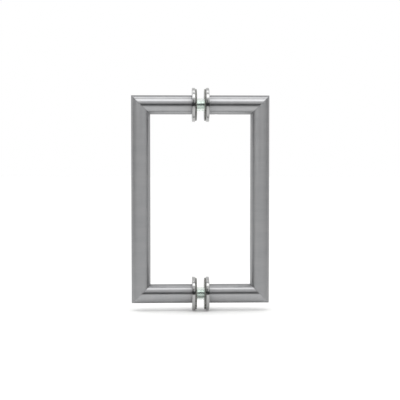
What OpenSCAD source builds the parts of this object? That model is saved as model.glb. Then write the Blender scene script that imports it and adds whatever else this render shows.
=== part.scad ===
// Back to back pair of mitred tube pulls for a glass door
// X runs through the thickness of the door, Y along its face, Z up
// The origin is the middle of the pair: half way between the posts, half way through the glass

/* [Handles] */
// Height between the centres of the two posts, and of the two holes in the glass
post_spacing = 200; // [120:1:600]
// Outside diameter of the handle tube
tube_d = 20; // [17:0.5:30]
// Wall of the handle tube
tube_wall = 1.5; // [1:0.1:2]
// From the face of the glass to the centre line of the grip
projection = 59; // [45:1:110]
// Bevel at the square end of each post tube
tube_end_bevel = 0.3; // [0.1:0.05:0.6]

/* [Glass] */
// Thickness of the glass that the pair clamps
glass_t = 8; // [5:0.5:14]
// Outside diameter of the sleeve that fills the hole in the glass
sleeve_d = 13; // [12:0.5:14.5]

/* [Washers and gaskets] */
// Diameter of the metal washers
washer_d = 36; // [35.5:0.5:50]
// Thickness of the metal washers
washer_t = 3.5; // [2:0.1:4]
// Rounding of the washer edges
washer_round = 0.8; // [0.2:0.05:0.9]
// Diameter of the gaskets
gasket_d = 33.5; // [24:0.5:33.5]
// Thickness of the gaskets
gasket_t = 1.6; // [0.8:0.1:3]
// Rounding of the gasket edges
gasket_round = 0.3; // [0.1:0.05:0.38]

/* [Inserts] */
// How far the plug in each post stands back from the end of the tube
insert_recess = 0.2; // [0.1:0.1:1]
// Bevel on the ends of the plug
insert_bevel = 0.6; // [0.2:0.1:1.5]
// Width of the countersink at the mouth of the stud bore
countersink = 0.5; // [0.2:0.1:1.5]
// Depth of the bore past the end of the stud
bore_room = 2; // [0.5:0.5:6]
// Solid metal in the plug behind the drill point of the bore
insert_floor = 2.5; // [1.5:0.5:8]

/* [Studs] */
// Diameter of the stud
stud_d = 8; // [6:0.5:9]
// Bevel on the ends of the stud
stud_bevel = 0.8; // [0.3:0.1:1.5]
// Depth of the turned neck that the set screw bears on
neck_depth = 0.6; // [0.3:0.1:1.5]
// Room in the neck on each side of the set screw
neck_room = 0.6; // [0.2:0.1:1.5]
// Full-width end of the stud past the neck
stud_tip = 2.5; // [1.6:0.1:6]

/* [Set screws] */
// Diameter of the set screw
screw_d = 5; // [4:0.5:6]
// From the end of the post tube to the centre of the set screw
screw_setback = 8; // [6.5:0.5:14]
// How far the set screw sits below the skin of the tube
screw_recess = 0.4; // [0.2:0.1:1]
// Size of the hexagon socket, across flats
socket_af = 2.5; // [2:0.5:2.5]
// Depth of the hexagon socket
socket_depth = 2.5; // [1.5:0.1:3.5]
// Depth of the cup at the point of the set screw
cup_depth = 0.5; // [0.2:0.1:1]
// Bevel at the point of the set screw
screw_bevel = 0.7; // [0.3:0.1:1.2]

/* [Clearances] */
// Gap all round between a brazed plug and the bore of its tube
braze_gap = 0.05; // [0.02:0.01:0.1]
// Gap all round in a threaded hole
thread_gap = 0.05; // [0.02:0.01:0.1]
// Gap all round where a piece slides over the stud
slide_gap = 0.15; // [0.05:0.05:0.25]
// Gap all round between the sleeve and the gaskets, and at each end of the sleeve
sleeve_gap = 0.2; // [0.1:0.05:0.3]

/* [Hidden] */
$fn = 96;
socket_sides = 6;
cut = 1;
tube_r = tube_d / 2;
bore_r = tube_r - tube_wall;
half_glass = glass_t / 2;
gasket_x = half_glass + gasket_t;
post_x = gasket_x + washer_t;
grip_x = half_glass + projection;
level_z = post_spacing / 2;
stud_r = stud_d / 2;
slide_r = stud_r + slide_gap;
sleeve_r = sleeve_d / 2;
insert_r = bore_r - braze_gap;
screw_r = screw_d / 2;
neck_r = stud_r - neck_depth;
screw_x = post_x + screw_setback;
screw_tip_r = neck_r + thread_gap;
screw_head_r = tube_r - screw_recess;
screw_l = screw_head_r - screw_tip_r;
neck_near = screw_x - screw_r - neck_room;
neck_far = screw_x + screw_r + neck_room;
stud_end = neck_far + neck_depth + stud_tip;
bore_end = stud_end + bore_room;

// A solid of revolution about the X axis, from an outline of [x, radius] points
module turned(outline) {
    rotate([0, 90, 0])
        rotate_extrude()
            polygon([for (p = outline) [p[1], p[0]]]);
}

// Places a piece that is drawn for the right side and the upper level
module placed(side, level) {
    translate([0, 0, level * level_z])
        mirror([side < 0 ? 1 : 0, 0, 0])
            children();
}

// The grip runs from mitre to mitre: the cutting outline is a trapezium whose slanting ends pass
// through the corners where the centre lines of grip and posts cross
module grip_tube(side) {
    out = tube_r + cut;
    mirror([side < 0 ? 1 : 0, 0, 0])
        intersection() {
            translate([grip_x, 0, -level_z - out])
                difference() {
                    cylinder(h = post_spacing + 2 * out, r = tube_r);
                    translate([0, 0, -cut])
                        cylinder(h = post_spacing + 2 * out + 2 * cut, r = bore_r);
                }
            rotate([90, 0, 0])
                linear_extrude(height = 2 * out, center = true)
                    polygon([
                        [grip_x + out, level_z + out], [grip_x - out, level_z - out],
                        [grip_x - out, -level_z + out], [grip_x + out, -level_z - out]
                    ]);
        }
}

// A post, drawn on the X axis: square and bevelled against the washer, mitred at the corner.
// lean is +1 where the grip hangs below the post and -1 where it stands above it
module post_tube(lean, drilled) {
    out = tube_r + cut;
    difference() {
        intersection() {
            turned([
                [post_x, bore_r], [post_x, tube_r - tube_end_bevel], [post_x + tube_end_bevel, tube_r],
                [grip_x + out, tube_r], [grip_x + out, bore_r]
            ]);
            rotate([90, 0, 0])
                linear_extrude(height = 2 * out, center = true)
                    polygon([
                        [post_x - cut, -lean * out], [grip_x - out, -lean * out],
                        [grip_x + out, lean * out], [post_x - cut, lean * out]
                    ]);
        }
        if (drilled)
            screw_hole();
    }
}

// The tapped cross hole for the set screw, open at the underside of the post
module screw_hole() {
    translate([screw_x, 0, -tube_r - cut])
        cylinder(h = tube_r + cut, r = screw_r + thread_gap);
}

// A turned plug with a blind bore for the stud: countersunk at the mouth, drill point at the end
module insert(hole_r, drilled) {
    face = post_x + insert_recess;
    drill_point = bore_end + hole_r / 2;
    back = drill_point + insert_floor;
    difference() {
        turned([
            [face, hole_r + countersink], [face + countersink, hole_r], [bore_end, hole_r],
            [drill_point, 0], [back, 0], [back, insert_r - insert_bevel],
            [back - insert_bevel, insert_r], [face + insert_bevel, insert_r],
            [face, insert_r - insert_bevel]
        ]);
        if (drilled)
            screw_hole();
    }
}

// A flat ring from near to far along X, with a square-edged bore and rounded outer edges
module ring(near, far, inner_r, outer_r, edge_round) {
    translate([near, 0, 0])
        rotate([0, 90, 0])
            rotate_extrude()
                union() {
                    translate([inner_r, 0])
                        square([outer_r - edge_round - inner_r, far - near]);
                    translate([inner_r, edge_round])
                        square([outer_r - inner_r, far - near - 2 * edge_round]);
                    for (x = [edge_round, far - near - edge_round])
                        translate([outer_r - edge_round, x])
                            circle(r = edge_round, $fn = 48);
                }
}

// The metal washer, on the end of the post
module washer() {
    ring(gasket_x, post_x, slide_r, washer_d / 2, washer_round);
}

// The soft washer between the metal and the glass, with room for the sleeve
module gasket() {
    ring(half_glass, gasket_x, sleeve_r + sleeve_gap, gasket_d / 2, gasket_round);
}

// A tube round the stud, from washer to washer through the gaskets and the glass
module sleeve() {
    half_l = gasket_x - sleeve_gap;
    bevel = sleeve_gap;
    turned([
        [-half_l, slide_r], [half_l, slide_r], [half_l, sleeve_r - bevel],
        [half_l - bevel, sleeve_r], [bevel - half_l, sleeve_r], [-half_l, sleeve_r - bevel]
    ]);
}

// The through bolt, with a turned neck under the set screw
module stud() {
    turned([
        [-stud_end, 0], [-stud_end, stud_r - stud_bevel], [stud_bevel - stud_end, stud_r],
        [neck_near - neck_depth, stud_r], [neck_near, neck_r], [neck_far, neck_r],
        [neck_far + neck_depth, stud_r], [stud_end - stud_bevel, stud_r],
        [stud_end, stud_r - stud_bevel], [stud_end, 0]
    ]);
}

// A grub screw that points up at the stud: hexagon socket below, cup point above
module set_screw() {
    translate([screw_x, 0, -screw_head_r])
        difference() {
            rotate_extrude()
                polygon([
                    [0, 0], [screw_r - screw_bevel / 2, 0], [screw_r, screw_bevel / 2],
                    [screw_r, screw_l - screw_bevel], [screw_r - screw_bevel, screw_l],
                    [cup_depth, screw_l], [0, screw_l - cup_depth]
                ]);
            translate([0, 0, -cut])
                cylinder(h = socket_depth + cut, d = socket_af / cos(180 / socket_sides), $fn = socket_sides);
        }
}

module satin_metal() { color([0.66, 0.66, 0.67]) children(); }
module bright_metal() { color([0.78, 0.78, 0.79]) children(); }
module plain_steel() { color([0.55, 0.56, 0.58]) children(); }
module black_steel() { color([0.16, 0.16, 0.17]) children(); }
module clear_vinyl() { color([0.86, 0.89, 0.88]) children(); }
module clear_nylon() { color([0.80, 0.86, 0.84]) children(); }

module left_grip_tube() satin_metal() grip_tube(-1);
module right_grip_tube() satin_metal() grip_tube(1);
module left_upper_post_tube() satin_metal() placed(-1, 1) post_tube(1, false);
module left_lower_post_tube() satin_metal() placed(-1, -1) post_tube(-1, false);
module right_upper_post_tube() satin_metal() placed(1, 1) post_tube(1, true);
module right_lower_post_tube() satin_metal() placed(1, -1) post_tube(-1, true);
module left_upper_insert() plain_steel() placed(-1, 1) insert(stud_r + thread_gap, false);
module left_lower_insert() plain_steel() placed(-1, -1) insert(stud_r + thread_gap, false);
module right_upper_insert() plain_steel() placed(1, 1) insert(slide_r, true);
module right_lower_insert() plain_steel() placed(1, -1) insert(slide_r, true);
module left_upper_washer() bright_metal() placed(-1, 1) washer();
module left_lower_washer() bright_metal() placed(-1, -1) washer();
module right_upper_washer() bright_metal() placed(1, 1) washer();
module right_lower_washer() bright_metal() placed(1, -1) washer();
module left_upper_gasket() clear_vinyl() placed(-1, 1) gasket();
module left_lower_gasket() clear_vinyl() placed(-1, -1) gasket();
module right_upper_gasket() clear_vinyl() placed(1, 1) gasket();
module right_lower_gasket() clear_vinyl() placed(1, -1) gasket();
module upper_sleeve() clear_nylon() placed(1, 1) sleeve();
module lower_sleeve() clear_nylon() placed(1, -1) sleeve();
module upper_stud() plain_steel() placed(1, 1) stud();
module lower_stud() plain_steel() placed(1, -1) stud();
module upper_set_screw() black_steel() placed(1, 1) set_screw();
module lower_set_screw() black_steel() placed(1, -1) set_screw();

left_grip_tube();
left_upper_post_tube();
left_lower_post_tube();
right_grip_tube();
right_upper_post_tube();
right_lower_post_tube();
left_upper_insert();
left_lower_insert();
right_upper_insert();
right_lower_insert();
left_upper_washer();
left_lower_washer();
right_upper_washer();
right_lower_washer();
left_upper_gasket();
left_lower_gasket();
right_upper_gasket();
right_lower_gasket();
upper_sleeve();
lower_sleeve();
upper_stud();
lower_stud();
upper_set_screw();
lower_set_screw();
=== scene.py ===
# Back to back pair of mitred tube pulls for a glass door, with washers, gaskets, sleeves and studs.
# Sizes are in millimetres and are the same as in the part's source; mm turns them to metres.
import math

import bmesh
import bpy
from mathutils import Matrix, Vector


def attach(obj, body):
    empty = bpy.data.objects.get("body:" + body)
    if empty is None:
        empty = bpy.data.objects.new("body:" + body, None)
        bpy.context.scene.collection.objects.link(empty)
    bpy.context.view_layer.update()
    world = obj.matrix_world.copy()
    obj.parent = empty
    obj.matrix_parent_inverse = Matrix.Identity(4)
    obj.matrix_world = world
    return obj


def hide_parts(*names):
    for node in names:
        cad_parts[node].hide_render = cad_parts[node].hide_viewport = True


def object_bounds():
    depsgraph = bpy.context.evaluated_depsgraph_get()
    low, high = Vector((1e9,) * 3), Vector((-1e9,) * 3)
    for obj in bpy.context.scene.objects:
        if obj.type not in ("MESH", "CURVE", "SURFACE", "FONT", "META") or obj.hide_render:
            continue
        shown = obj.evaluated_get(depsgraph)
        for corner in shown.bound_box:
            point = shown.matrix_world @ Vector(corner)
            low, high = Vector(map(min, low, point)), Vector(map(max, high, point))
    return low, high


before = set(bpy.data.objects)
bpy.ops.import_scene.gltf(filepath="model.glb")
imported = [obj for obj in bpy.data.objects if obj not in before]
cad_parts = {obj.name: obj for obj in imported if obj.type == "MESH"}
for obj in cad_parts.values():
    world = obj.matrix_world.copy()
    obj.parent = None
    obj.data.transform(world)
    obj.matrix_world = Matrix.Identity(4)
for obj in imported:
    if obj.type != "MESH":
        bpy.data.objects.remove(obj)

cad_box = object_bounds()
mm = 0.001

# Camera
# A long lens stands about a metre away, a little to the left of the pair and a little above it,
# so that each right-hand washer shows a sliver of the gasket on its face.
camera_distance = 1060 * mm
camera_left = math.radians(2)
camera_up = math.radians(2.65)
aim = Vector((-0.4, 0, -0.45)) * mm
toward_camera = Vector((
    -math.sin(camera_left) * math.cos(camera_up),
    -math.cos(camera_left) * math.cos(camera_up),
    math.sin(camera_up),
))
lens = bpy.data.cameras.new("long_lens")
lens.sensor_width = 36
lens.lens = 90
camera = bpy.data.objects.new("camera", lens)
camera.location = aim + toward_camera * camera_distance
camera.rotation_euler = (-toward_camera).to_track_quat("-Z", "Y").to_euler()
bpy.context.scene.collection.objects.link(camera)
bpy.context.scene.camera = camera
bpy.context.scene.view_settings.view_transform = "Standard"

# Studio
# The pair stands on its lower washers on a wide pale floor, inside a white tent of light with two
# soft boxes overhead. A dark cloth hangs round the front and sides at camera height, just behind
# the camera, as it does when metal is photographed, and three dark flags stand behind the cloth.


def linear(code):
    """A hex sRGB colour as the linear RGBA that a socket takes."""
    shares = [int(code[i : i + 2], 16) / 255 for i in (1, 3, 5)]
    return (*[s / 12.92 if s <= 0.04045 else ((s + 0.055) / 1.055) ** 2.4 for s in shares], 1)


def add(tree, kind, inputs=None, **settings):
    """Adds a node, sets its options, and sets or links its inputs by name or number."""
    node = tree.nodes.new(kind)
    for option, value in settings.items():
        setattr(node, option, value)
    for socket, value in (inputs or {}).items():
        if isinstance(value, bpy.types.NodeSocket):
            tree.links.new(value, node.inputs[socket])
        else:
            node.inputs[socket].default_value = value
    return node


def new_material(name):
    """A material with its Principled shader, and the object coordinates that its patterns read."""
    material = bpy.data.materials.new(name)
    material.use_nodes = True
    tree = material.node_tree
    place = add(tree, "ShaderNodeTexCoord").outputs["Object"]
    return material, tree, tree.nodes["Principled BSDF"], place


def new_object(bm, name, material, sharp=20):
    """Turns a bmesh into an object at the origin, smooth except over edges of sharp degrees or more."""
    mesh = bpy.data.meshes.new(name)
    bm.to_mesh(mesh)
    bm.free()
    mesh.shade_smooth()
    mesh.set_sharp_from_angle(angle=math.radians(sharp))
    mesh.materials.append(material)
    made = bpy.data.objects.new(name, mesh)
    bpy.context.scene.collection.objects.link(made)
    return made


# Matt white board: evenly pale, with a faint mottle from the roller. It is lifted a little for the
# camera and for what metal and plastic show of it, so that it reads white and keeps its shadow.
white_board, tree, shader, place = new_material("matt_white_board")
mottle = add(tree, "ShaderNodeTexNoise", {"Vector": place, "Scale": 6.0, "Detail": 3.0})
tint = add(tree, "ShaderNodeMix", {0: mottle.outputs["Fac"], 6: linear("#EFEFEE"),
                                   7: linear("#F3F3F2")}, data_type="RGBA")
tree.links.new(tint.outputs[2], shader.inputs["Base Color"])
shader.inputs["Roughness"].default_value = 0.9
path = add(tree, "ShaderNodeLightPath")
seen = add(tree, "ShaderNodeMath", {0: path.outputs["Is Camera Ray"],
                                    1: path.outputs["Is Glossy Ray"]}, operation="MAXIMUM")
seen = add(tree, "ShaderNodeMath", {0: seen.outputs["Value"], 1: path.outputs["Is Transmission Ray"]},
           operation="MAXIMUM")
board_lift = 0.16
lift = add(tree, "ShaderNodeMath", {0: seen.outputs["Value"], 1: board_lift}, operation="MULTIPLY")
shader.inputs["Emission Color"].default_value = (1, 1, 1, 1)
tree.links.new(lift.outputs["Value"], shader.inputs["Emission Strength"])

floor_level = cad_box[0].z
board = bmesh.new()
bmesh.ops.create_grid(board, x_segments=8, y_segments=8, size=6)
bmesh.ops.translate(board, verts=board.verts, vec=(0, 0, floor_level))
new_object(board, "floor", white_board)

# Dark wool cloth: soaks up light, so the metal shows a soft dark line at camera height
dark_cloth, tree, shader, place = new_material("dark_wool_cloth")
nap = add(tree, "ShaderNodeTexNoise", {"Vector": place, "Scale": 40.0, "Detail": 4.0})
tint = add(tree, "ShaderNodeMix", {0: nap.outputs["Fac"], 6: linear("#4A4B4C"),
                                   7: linear("#545556")}, data_type="RGBA")
tree.links.new(tint.outputs[2], shader.inputs["Base Color"])
shader.inputs["Roughness"].default_value = 1.0

cloth_top = 350 * mm
cloth_reach = 1150 * mm
cloth_turn = math.radians(220)
cloth = bmesh.new()
foot = cloth.verts.new((0, -cloth_reach, floor_level))
head = cloth.verts.new((0, -cloth_reach, cloth_top))
hem = cloth.edges.new((foot, head))
bmesh.ops.rotate(cloth, verts=cloth.verts, cent=(0, 0, 0), matrix=Matrix.Rotation(-cloth_turn / 2, 3, "Z"))
bmesh.ops.spin(cloth, geom=[foot, head, hem], cent=(0, 0, 0), axis=(0, 0, 1), angle=cloth_turn, steps=48)
hanging_cloth = new_object(cloth, "cloth_round_the_front", dark_cloth)
hanging_cloth.visible_camera = False

# Narrow flags of the same cloth draw faint dark lines down the upright grips
flag_top = 900 * mm
flag_reach = 1200 * mm
for flag_name, flag_width, turn in (("front", 180, 0), ("left", 150, -65), ("right", 150, 51)):
    flag = bmesh.new()
    bmesh.ops.create_grid(flag, x_segments=1, y_segments=1, size=0.5)
    bmesh.ops.transform(flag, verts=flag.verts, matrix=(
        Matrix.Rotation(math.radians(turn), 4, "Z")
        @ Matrix.Translation((0, -flag_reach, (flag_top + floor_level) / 2))
        @ Matrix.Rotation(math.pi / 2, 4, "X")
        @ Matrix.Diagonal((flag_width * mm, flag_top - floor_level, 1, 1))))
    standing_flag = new_object(flag, "flag_" + flag_name, dark_cloth)
    standing_flag.visible_camera = False

world = bpy.data.worlds.new("white_tent")
world.use_nodes = True
tent = world.node_tree.nodes["Background"]
tent.inputs["Color"].default_value = (1, 1, 1, 1)
tent.inputs["Strength"].default_value = 1.0
bpy.context.scene.world = world


def soft_box(name, front, back, height, width, brightness):
    """A level soft light from front to back. Brightness is what it adds in a mirror to the tent's 1."""
    light = bpy.data.lights.new(name, "AREA")
    light.shape = "RECTANGLE"
    light.size = width * mm
    light.size_y = (back - front) * mm
    light.energy = 4 * light.size * light.size_y * brightness
    lamp = bpy.data.objects.new(name, light)
    lamp.location = Vector((0, (front + back) / 2, height)) * mm
    lamp.visible_camera = False
    bpy.context.scene.collection.objects.link(lamp)


soft_box("front_soft_box", -280, -97, 400, 900, 1.3)
soft_box("top_soft_box", -10, 97, 400, 900, 0.9)

# Handle tubes
# Stainless steel tube, 20 mm across with a 1.5 mm wall, cut at 45 degrees, fusion welded at the
# corners and ground flush. It is finished on a belt that runs round the tube, then lightly buffed.
tube_r = 10.0
bore_r = 8.5
tube_end_bevel = 0.3
seam_bevel = 0.12
post_x = 9.1
grip_x = 63.0
level_z = 100.0
screw_x = 17.1
screw_hole_r = 2.55
sides = {"left": -1, "right": 1}
levels = {"upper": 1, "lower": -1}


def spun(outline, steps=144):
    """A closed outline of (along, radius) points in millimetres, spun about the X axis."""
    bm = bmesh.new()
    verts = [bm.verts.new((x * mm, 0, r * mm)) for x, r in outline]
    edges = [bm.edges.new((a, b)) for a, b in zip(verts, verts[1:] + verts[:1])]
    bmesh.ops.spin(bm, geom=verts + edges, cent=(0, 0, 0), axis=(1, 0, 0), angle=math.tau,
                   steps=steps, use_merge=True)
    bmesh.ops.remove_doubles(bm, verts=bm.verts, dist=0.001 * mm)
    bmesh.ops.recalc_face_normals(bm, faces=bm.faces)
    return bm


def ring_edges(bm, along, radius, near=0.02):
    """The edges that lie on a circle about the X axis, at a distance along it."""
    found = []
    for edge in bm.edges:
        fits = True
        for vert in edge.verts:
            out = math.hypot(vert.co.y, vert.co.z)
            fits = fits and abs(vert.co.x - along * mm) < near * mm and abs(out - radius * mm) < near * mm
        if fits:
            found.append(edge)
    return found


def round_edges(bm, edges, width, segments):
    """Bevels edges: one segment is a flat bevel, more make it round."""
    bmesh.ops.bevel(bm, geom=edges, offset=width * mm, offset_type="OFFSET", segments=segments,
                    profile=0.5, affect="EDGES", material=-1, clamp_overlap=True)
    bmesh.ops.remove_doubles(bm, verts=bm.verts, dist=0.002 * mm)


def mitre(bm, point, normal):
    """Cuts a tube off at a plane and closes the cut wall."""
    bmesh.ops.bisect_plane(bm, geom=bm.verts[:] + bm.edges[:] + bm.faces[:], plane_co=Vector(point) * mm,
                           plane_no=Vector(normal), clear_outer=True)
    loops = [e for e in bm.edges if e.is_boundary]
    wall = bmesh.ops.bridge_loops(bm, edges=loops)["faces"]
    bmesh.ops.recalc_face_normals(bm, faces=bm.faces)
    return wall


def dressed(bm, wall, axis_x, axis_z, upright):
    """Bevels the outer edge of a cut wall."""
    edges = []
    for face in wall:
        for edge in face.edges:
            outside = True
            for vert in edge.verts:
                off = vert.co.x - axis_x * mm if upright else vert.co.z - axis_z * mm
                outside = outside and math.hypot(off, vert.co.y) > (tube_r - 0.05) * mm
            if outside and edge not in edges:
                edges.append(edge)
    bmesh.ops.bevel(bm, geom=edges, offset=seam_bevel * mm, offset_type="OFFSET", segments=1,
                    profile=0.5, affect="EDGES", material=-1, clamp_overlap=True)


def wrap(bm, axis_x, axis_z, upright):
    """A UV map for the finish: U runs along the tube and V round it."""
    layer = bm.loops.layers.uv.new("finish")
    for face in bm.faces:
        middle = face.calc_center_median()
        turn = math.atan2(middle.y, middle.x - axis_x * mm if upright else middle.z - axis_z * mm)
        for loop in face.loops:
            co = loop.vert.co
            angle = math.atan2(co.y, co.x - axis_x * mm if upright else co.z - axis_z * mm)
            angle += math.tau * round((turn - angle) / math.tau)
            loop[layer].uv = ((co.z if upright else co.x) / (100 * mm), angle / math.tau)


def satin_steel(name, along):
    """Satin stainless steel, ground round the tube: grain rings 0.3 mm wide, and slow cloudy wear."""
    material, tree, shader, place = new_material(name)
    fine = [1 / (12 * mm)] * 3
    fine[along] = 1 / (0.35 * mm)
    slow = [1 / (30 * mm)] * 3
    slow[along] = 1 / (9 * mm)
    grain_place = add(tree, "ShaderNodeMapping", {"Vector": place, "Scale": fine})
    grain = add(tree, "ShaderNodeTexNoise", {"Vector": grain_place.outputs["Vector"], "Scale": 1.0,
                                             "Detail": 3.0, "Roughness": 0.6})
    cloud_place = add(tree, "ShaderNodeMapping", {"Vector": place, "Scale": slow})
    cloud = add(tree, "ShaderNodeTexNoise", {"Vector": cloud_place.outputs["Vector"], "Scale": 1.0,
                                             "Detail": 2.0})
    mixed = add(tree, "ShaderNodeMath", {0: grain.outputs["Fac"], 1: cloud.outputs["Fac"]},
                operation="ADD")
    tone = add(tree, "ShaderNodeMapRange", {"Value": mixed.outputs["Value"], "From Min": 0.6,
                                            "From Max": 1.4})
    tint = add(tree, "ShaderNodeMix", {0: tone.outputs["Result"], 6: linear("#A4A5A7"),
                                       7: linear("#B1B1B2")}, data_type="RGBA")
    tree.links.new(tint.outputs[2], shader.inputs["Base Color"])
    rough = add(tree, "ShaderNodeMapRange", {"Value": mixed.outputs["Value"], "From Min": 0.6,
                                             "From Max": 1.4, "To Min": 0.36, "To Max": 0.42})
    tree.links.new(rough.outputs["Result"], shader.inputs["Roughness"])
    shader.inputs["Metallic"].default_value = 1.0
    shader.inputs["Specular Tint"].default_value = linear("#B4B4B4")
    shader.inputs["Anisotropic"].default_value = 0.9
    direction = add(tree, "ShaderNodeTangent", direction_type="UV_MAP", uv_map="finish")
    tree.links.new(direction.outputs["Tangent"], shader.inputs["Tangent"])
    bump = add(tree, "ShaderNodeBump", {"Height": grain.outputs["Fac"], "Strength": 0.5,
                                        "Distance": 0.004 * mm})
    tree.links.new(bump.outputs["Normal"], shader.inputs["Normal"])
    return material


post_steel = satin_steel("satin_stainless_post", 0)
grip_steel = satin_steel("satin_stainless_grip", 2)


def seat(piece, node):
    """The piece rides on the assembly and stands for its CAD node, which it hides."""
    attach(piece, "root")
    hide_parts(node)


def cut_away(piece, cutter):
    """Cuts the cutter's shape out of a piece for good."""
    tool = new_object(cutter, "tool", piece.data.materials[0])
    cut = piece.modifiers.new("cut", "BOOLEAN")
    cut.operation = "DIFFERENCE"
    cut.solver = "EXACT"
    cut.object = tool
    bpy.context.view_layer.update()
    shape = bpy.data.meshes.new_from_object(piece.evaluated_get(bpy.context.evaluated_depsgraph_get()))
    piece.modifiers.clear()
    piece.data = shape
    shape.set_sharp_from_angle(angle=math.radians(20))
    bpy.data.objects.remove(tool)


def set_screw_bore(level, radius, low, high):
    """An upright round cutter at the set screw, from low to high under the centre of the post."""
    bm = bmesh.new()
    bmesh.ops.create_cone(bm, cap_ends=True, segments=48, radius1=radius * mm, radius2=radius * mm,
                          depth=(high - low) * mm)
    bmesh.ops.translate(bm, verts=bm.verts, vec=(screw_x * mm, 0, (level * level_z + (low + high) / 2) * mm))
    return bm


for side_name, side in sides.items():
    for level_name, level in levels.items():
        bm = spun([
            (post_x, bore_r), (post_x, tube_r - tube_end_bevel), (post_x + tube_end_bevel, tube_r),
            (grip_x + 12, tube_r), (grip_x + 12, bore_r),
        ])
        wall = mitre(bm, (grip_x, 0, 0), (1, 0, -level))
        dressed(bm, wall, 0, 0, False)
        bmesh.ops.transform(bm, verts=bm.verts, matrix=Matrix.Translation((0, 0, level * level_z * mm))
                            @ Matrix.Diagonal((side, 1, 1, 1)))
        bmesh.ops.recalc_face_normals(bm, faces=bm.faces)
        wrap(bm, 0, level * level_z, False)
        name = f"{side_name}_{level_name}_post_tube"
        post = new_object(bm, "satin_" + name, post_steel)
        if side > 0:
            cut_away(post, set_screw_bore(level, screw_hole_r, -12, -5))
        seat(post, name)

    bm = spun([
        (-level_z - 12, bore_r), (-level_z - 12, tube_r), (level_z + 12, tube_r), (level_z + 12, bore_r),
    ])
    bmesh.ops.transform(bm, verts=bm.verts, matrix=Matrix.Translation((grip_x * mm, 0, 0))
                        @ Matrix.Rotation(-math.pi / 2, 4, "Y"))
    for level in levels.values():
        mitre(bm, (grip_x, 0, level * level_z), (-1, 0, level))
    walls = [f for f in bm.faces
             if abs(abs(f.normal.x) - abs(f.normal.z)) < 0.01 and abs(f.normal.y) < 0.01]
    dressed(bm, walls, grip_x, 0, True)
    bmesh.ops.transform(bm, verts=bm.verts, matrix=Matrix.Diagonal((side, 1, 1, 1)))
    bmesh.ops.recalc_face_normals(bm, faces=bm.faces)
    wrap(bm, side * grip_x, 0, True)
    name = f"{side_name}_grip_tube"
    seat(new_object(bm, "satin_" + name, grip_steel), name)

# Inserts
# Turned brass plugs, brazed into the posts just behind the washers. The left pair is tapped for
# the studs, and the right pair has a plain bore and a cross hole for the set screw.
insert_face = 9.3
insert_back = 29.8
insert_r = 8.45
insert_bevel = 0.6
countersink = 0.5
bore_end = 25.3
tapped_r = 4.05
slide_r = 4.15

turned_brass, tree, shader, place = new_material("turned_brass")
ridge_place = add(tree, "ShaderNodeMapping", {"Vector": place, "Scale": (1 / (0.4 * mm), 20, 20)})
ridge = add(tree, "ShaderNodeTexNoise", {"Vector": ridge_place.outputs["Vector"], "Scale": 1.0})
tint = add(tree, "ShaderNodeMix", {0: ridge.outputs["Fac"], 6: linear("#B8924C"),
                                   7: linear("#CDA95F")}, data_type="RGBA")
tree.links.new(tint.outputs[2], shader.inputs["Base Color"])
rough = add(tree, "ShaderNodeMapRange", {"Value": ridge.outputs["Fac"], "To Min": 0.22, "To Max": 0.34})
tree.links.new(rough.outputs["Result"], shader.inputs["Roughness"])
shader.inputs["Metallic"].default_value = 1.0

for side_name, side in sides.items():
    for level_name, level in levels.items():
        hole_r = slide_r if side > 0 else tapped_r
        point = bore_end + hole_r / 2
        bm = spun([
            (insert_face, hole_r + countersink), (insert_face + countersink, hole_r), (bore_end, hole_r),
            (point, 0), (point + 2.5, 0), (point + 2.5, insert_r - insert_bevel),
            (point + 2.5 - insert_bevel, insert_r), (insert_face + insert_bevel, insert_r),
            (insert_face, insert_r - insert_bevel),
        ], steps=96)
        bmesh.ops.transform(bm, verts=bm.verts, matrix=Matrix.Translation((0, 0, level * level_z * mm))
                            @ Matrix.Diagonal((side, 1, 1, 1)))
        bmesh.ops.recalc_face_normals(bm, faces=bm.faces)
        name = f"{side_name}_{level_name}_insert"
        plug = new_object(bm, "brass_" + name, turned_brass)
        if side > 0:
            cut_away(plug, set_screw_bore(level, screw_hole_r, -12, -1))
        seat(plug, name)

# Studs
# Bright zinc plated M8 studs: threaded where they screw into the left plugs, with a smooth shank
# through the glass, and turned down to a neck where the set screw of the right post bears.
stud_r = 4.0
stud_end = 23.3
stud_pitch = 1.25
stud_thread = 0.65
shank_start = -9.0
neck_near = 14.0
neck_far = 20.2
neck_depth = 0.6
stud_bevel = 0.8

bright_zinc, tree, shader, place = new_material("bright_zinc_plated_steel")
cloud = add(tree, "ShaderNodeTexNoise", {"Vector": place, "Scale": 1 / (2 * mm), "Detail": 3.0})
tint = add(tree, "ShaderNodeMix", {0: cloud.outputs["Fac"], 6: linear("#D2D5D7"),
                                   7: linear("#E2E4E4")}, data_type="RGBA")
tree.links.new(tint.outputs[2], shader.inputs["Base Color"])
rough = add(tree, "ShaderNodeMapRange", {"Value": cloud.outputs["Fac"], "To Min": 0.16, "To Max": 0.26})
tree.links.new(rough.outputs["Result"], shader.inputs["Roughness"])
shader.inputs["Metallic"].default_value = 1.0


def open_edges(bm, along):
    """The edges in the plane at a distance along X that still lack a face."""
    return [e for e in bm.edges if len(e.link_faces) < 2
            and all(abs(v.co.x - along * mm) < 0.005 * mm for v in e.verts)]


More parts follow.
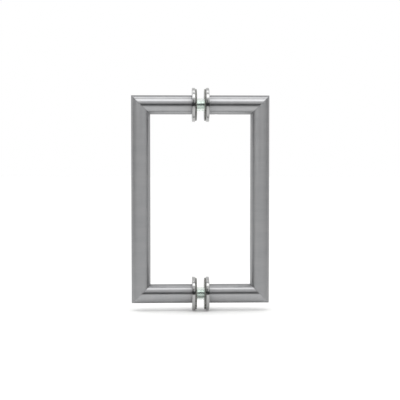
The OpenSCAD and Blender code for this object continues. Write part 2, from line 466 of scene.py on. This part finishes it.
def threaded(start, stop, radius, pitch, depth, steps=48):
    """A rod about the X axis, left open at its start: a toothed line, spun with a lead of one pitch."""
    bm = bmesh.new()
    line = []
    turns = math.ceil((stop - start) / pitch) + 4
    for turn in range(turns):
        x = start + (turn - 2) * pitch
        for share, down in ((0, depth), (0.4, 0), (0.52, 0), (0.92, depth)):
            line.append(bm.verts.new(((x + share * pitch) * mm, 0, (radius - down) * mm)))
    edges = [bm.edges.new(pair) for pair in zip(line, line[1:])]
    bmesh.ops.spin(bm, geom=line + edges, cent=(0, 0, 0), axis=(1, 0, 0),
                   dvec=(pitch * mm / steps, 0, 0), angle=math.tau, steps=steps)
    bmesh.ops.remove_doubles(bm, verts=bm.verts, dist=0.002 * mm)
    for x, way in ((start, -1), (stop, 1)):
        bmesh.ops.bisect_plane(bm, geom=bm.verts[:] + bm.edges[:] + bm.faces[:],
                               plane_co=(x * mm, 0, 0), plane_no=(way, 0, 0), clear_outer=True)
    bmesh.ops.holes_fill(bm, edges=open_edges(bm, stop), sides=0)
    return bm


def join(bm, other):
    """Adds a second closed shape to a bmesh, and turns all faces outwards."""
    holder = bpy.data.meshes.new("holder")
    other.to_mesh(holder)
    other.free()
    bm.from_mesh(holder)
    bpy.data.meshes.remove(holder)
    bmesh.ops.recalc_face_normals(bm, faces=bm.faces)


for level_name, level in levels.items():
    bm = threaded(-stud_end, shank_start, stud_r, stud_pitch, stud_thread)
    bmesh.ops.holes_fill(bm, edges=open_edges(bm, -stud_end), sides=0)
    join(bm, spun([
        (shank_start - 0.3, 0), (shank_start - 0.3, stud_r - stud_thread),
        (shank_start - 0.3 + stud_thread, stud_r), (neck_near - neck_depth, stud_r),
        (neck_near, stud_r - neck_depth), (neck_far, stud_r - neck_depth),
        (neck_far + neck_depth, stud_r), (stud_end - stud_bevel, stud_r),
        (stud_end, stud_r - stud_bevel), (stud_end, 0),
    ], steps=96))
    bmesh.ops.translate(bm, verts=bm.verts, vec=(0, 0, level * level_z * mm))
    name = f"{level_name}_stud"
    seat(new_object(bm, "plated_" + name, bright_zinc), name)

# Sleeves
# Clear nylon bushes that fill the hole in the glass. They run over the stud from washer to washer,
# through both gaskets, and have the faint green of thick clear plastic.
gasket_x = 5.6
sleeve_r = 6.5
sleeve_end = 5.4

clear_nylon, tree, shader, place = new_material("clear_moulded_nylon")
flow = add(tree, "ShaderNodeTexNoise", {"Vector": place, "Scale": 1 / (3 * mm), "Detail": 2.0})
tint = add(tree, "ShaderNodeMix", {0: flow.outputs["Fac"], 6: linear("#E4EDE6"),
                                   7: linear("#EEF4EF")}, data_type="RGBA")
tree.links.new(tint.outputs[2], shader.inputs["Base Color"])
rough = add(tree, "ShaderNodeMapRange", {"Value": flow.outputs["Fac"], "To Min": 0.1, "To Max": 0.2})
tree.links.new(rough.outputs["Result"], shader.inputs["Roughness"])
shader.inputs["IOR"].default_value = 1.53
shader.inputs["Transmission Weight"].default_value = 1.0

for level_name, level in levels.items():
    bm = spun([
        (-sleeve_end, slide_r), (-sleeve_end, sleeve_r), (sleeve_end, sleeve_r), (sleeve_end, slide_r),
    ], steps=96)
    round_edges(bm, ring_edges(bm, -sleeve_end, sleeve_r) + ring_edges(bm, sleeve_end, sleeve_r), 0.2, 3)
    bmesh.ops.translate(bm, verts=bm.verts, vec=(0, 0, level * level_z * mm))
    bmesh.ops.recalc_face_normals(bm, faces=bm.faces)
    name = f"{level_name}_sleeve"
    seat(new_object(bm, "clear_" + name, clear_nylon), name)

# Gaskets
# Rings stamped from soft clear vinyl sheet, one on the glass side of each washer. They look smoky
# edge on, and pale where light comes through them.
gasket_r = 16.75
gasket_bore_r = 6.7
gasket_t = 1.6
gasket_round = 0.3

clear_vinyl, tree, shader, place = new_material("clear_vinyl_sheet")
flow = add(tree, "ShaderNodeTexNoise", {"Vector": place, "Scale": 1 / (5 * mm), "Detail": 2.0})
tint = add(tree, "ShaderNodeMix", {0: flow.outputs["Fac"], 6: linear("#7A7B75"),
                                   7: linear("#8A8B85")}, data_type="RGBA")
tree.links.new(tint.outputs[2], shader.inputs["Base Color"])
rough = add(tree, "ShaderNodeMapRange", {"Value": flow.outputs["Fac"], "To Min": 0.22, "To Max": 0.34})
tree.links.new(rough.outputs["Result"], shader.inputs["Roughness"])
shader.inputs["IOR"].default_value = 1.52
shader.inputs["Transmission Weight"].default_value = 0.4

for side_name, side in sides.items():
    for level_name, level in levels.items():
        bm = spun([
            (gasket_x - gasket_t, gasket_bore_r), (gasket_x - gasket_t, gasket_r), (gasket_x, gasket_r),
            (gasket_x, gasket_bore_r),
        ])
        edges = ring_edges(bm, gasket_x - gasket_t, gasket_r) + ring_edges(bm, gasket_x, gasket_r)
        round_edges(bm, edges, gasket_round, 4)
        bmesh.ops.transform(bm, verts=bm.verts, matrix=Matrix.Translation((0, 0, level * level_z * mm))
                            @ Matrix.Diagonal((side, 1, 1, 1)))
        bmesh.ops.recalc_face_normals(bm, faces=bm.faces)
        name = f"{side_name}_{level_name}_gasket"
        seat(new_object(bm, "clear_" + name, clear_vinyl), name)

# Washers
# Thick steel rings with a straight rim and rounded edges, turned, polished and nickel plated,
# held between the ends of the posts and the gaskets. Their rims are close to a mirror.
washer_r = 18.0
washer_round = 0.8

polished_nickel, tree, shader, place = new_material("polished_nickel_plate")
haze = add(tree, "ShaderNodeTexNoise", {"Vector": place, "Scale": 1 / (6 * mm), "Detail": 3.0})
tint = add(tree, "ShaderNodeMix", {0: haze.outputs["Fac"], 6: linear("#A6A6A6"),
                                   7: linear("#B2B2B1")}, data_type="RGBA")
tree.links.new(tint.outputs[2], shader.inputs["Base Color"])
rough = add(tree, "ShaderNodeMapRange", {"Value": haze.outputs["Fac"], "To Min": 0.09, "To Max": 0.16})
tree.links.new(rough.outputs["Result"], shader.inputs["Roughness"])
shader.inputs["Metallic"].default_value = 1.0

for side_name, side in sides.items():
    for level_name, level in levels.items():
        bm = spun([(gasket_x, slide_r), (gasket_x, washer_r), (post_x, washer_r), (post_x, slide_r)])
        edges = ring_edges(bm, gasket_x, washer_r) + ring_edges(bm, post_x, washer_r)
        round_edges(bm, edges, washer_round, 8)
        bmesh.ops.transform(bm, verts=bm.verts, matrix=Matrix.Translation((0, 0, level * level_z * mm))
                            @ Matrix.Diagonal((side, 1, 1, 1)))
        bmesh.ops.recalc_face_normals(bm, faces=bm.faces)
        name = f"{side_name}_{level_name}_washer"
        seat(new_object(bm, "polished_" + name, polished_nickel), name)

# Set screws
# Black oxide grub screws with a hexagon socket, one in the underside of each right-hand post.
# They sit just below the skin of the tube, and their cup points bear on the necks of the studs.
screw_r = 2.5
screw_low = -9.6
screw_high = -3.45
screw_bevel = 0.7
screw_pitch = 0.8
screw_thread = 0.4
cup_depth = 0.5
socket_af = 2.5
socket_depth = 2.5

black_oxide, tree, shader, place = new_material("black_oxide_steel")
bloom = add(tree, "ShaderNodeTexNoise", {"Vector": place, "Scale": 1 / (0.6 * mm), "Detail": 3.0})
tint = add(tree, "ShaderNodeMix", {0: bloom.outputs["Fac"], 6: linear("#26272A"),
                                   7: linear("#3A3B3E")}, data_type="RGBA")
tree.links.new(tint.outputs[2], shader.inputs["Base Color"])
rough = add(tree, "ShaderNodeMapRange", {"Value": bloom.outputs["Fac"], "To Min": 0.3, "To Max": 0.5})
tree.links.new(rough.outputs["Result"], shader.inputs["Roughness"])
shader.inputs["Metallic"].default_value = 1.0

for level_name, level in levels.items():
    bm = threaded(screw_low, screw_high - screw_bevel, screw_r, screw_pitch, screw_thread)
    across = socket_af / math.cos(math.pi / 6) / 2
    mouth = bmesh.ops.create_circle(
        bm, segments=6, radius=across * mm,
        matrix=Matrix.Translation((screw_low * mm, 0, 0)) @ Matrix.Rotation(math.pi / 2, 4, "Y"))["verts"]
    socket_edges = [e for e in bm.edges if all(v in mouth for v in e.verts)]
    bmesh.ops.triangle_fill(bm, edges=open_edges(bm, screw_low), use_beauty=True)
    sunk = bmesh.ops.extrude_edge_only(bm, edges=socket_edges)["geom"]
    bmesh.ops.translate(bm, verts=[v for v in sunk if isinstance(v, bmesh.types.BMVert)],
                        vec=(socket_depth * mm, 0, 0))
    bmesh.ops.holes_fill(bm, edges=open_edges(bm, screw_low + socket_depth), sides=0)
    join(bm, spun([
        (screw_high - screw_bevel - 0.05, 0), (screw_high - screw_bevel - 0.05, screw_r - screw_thread),
        (screw_high, screw_r - screw_bevel), (screw_high, cup_depth), (screw_high - cup_depth, 0),
    ], steps=48))
    bmesh.ops.transform(bm, verts=bm.verts, matrix=(
        Matrix.Translation((screw_x * mm, 0, level * level_z * mm))
        @ Matrix.Rotation(-math.pi / 2, 4, "Y")))
    name = f"{level_name}_set_screw"
    seat(new_object(bm, "black_" + name, black_oxide), name)
